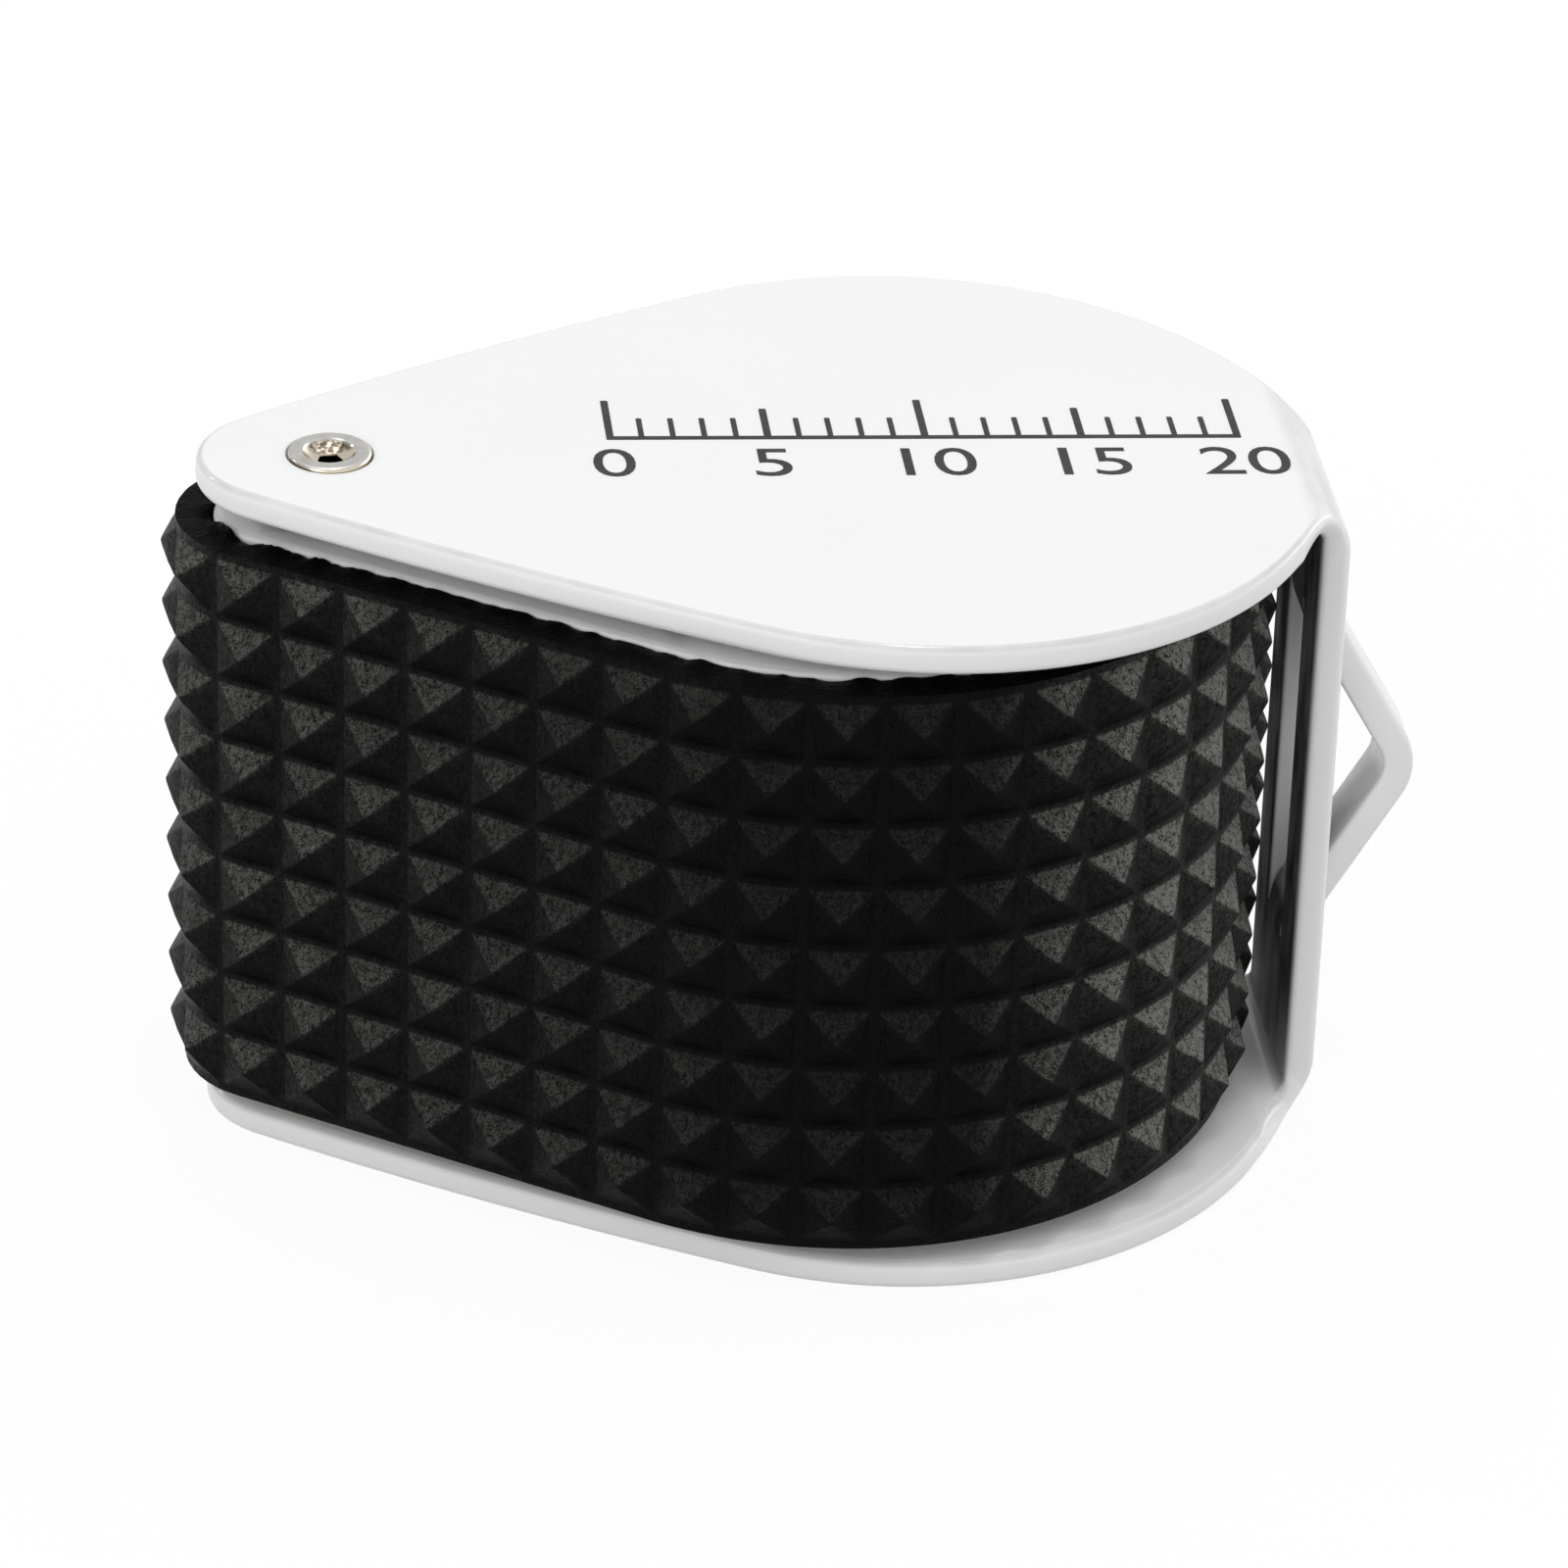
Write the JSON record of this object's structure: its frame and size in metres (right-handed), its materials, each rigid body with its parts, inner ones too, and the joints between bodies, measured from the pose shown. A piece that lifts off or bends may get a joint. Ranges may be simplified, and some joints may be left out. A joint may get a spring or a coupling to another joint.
{
  "type": "jeweler loupe",
  "caption": "Folding loupe: a triplet lens body in a ribbed rubber grip that swings on a hollow rivet out of a bent sheet-metal cover with a cord loop.",
  "frame": {"origin": "on the lens axis of the closed loupe, at the outer face of the lower cheek", "axes": "+Z along the lens axis from the lower cheek to the upper one, +X from the rivet towards the web and its cord loop, +Y across the cheeks"},
  "size_m": [0.0403, 0.0272, 0.0236],
  "materials": {
    "white_paint": "gloss white stove enamel",
    "black_rubber": "matt, slightly grained",
    "nickel_plate": "bright nickel plate",
    "brass": "turned",
    "spring_steel": "blank",
    "black_anodised": "matt black anodised",
    "optical_glass": "polished"
  },
  "bodies": {
    "cover": {"cover": "white_paint", "pivot_rivet": "nickel_plate", "lower_washer": "brass", "wave_washer": "spring_steel"},
    "lens_body": {"loupe_housing": "white_paint", "rubber_grip": "black_rubber", "pivot_sleeve": "brass", "lens_barrel": "black_anodised", "crown_lens": "optical_glass", "upper_flint_lens": "optical_glass", "lower_flint_lens": "optical_glass", "upper_spacer_tube": "black_anodised", "lower_spacer_tube": "black_anodised", "upper_retaining_ring": "black_anodised", "lower_retaining_ring": "black_anodised"}
  },
  "joints": [
    {"name": "body_swing", "type": "hinge", "parent": "cover", "child": "lens_body", "pos_m": [-0.01646, 0, 0.0116], "axis": [0, 0, 1], "continuous": true}
  ]
}
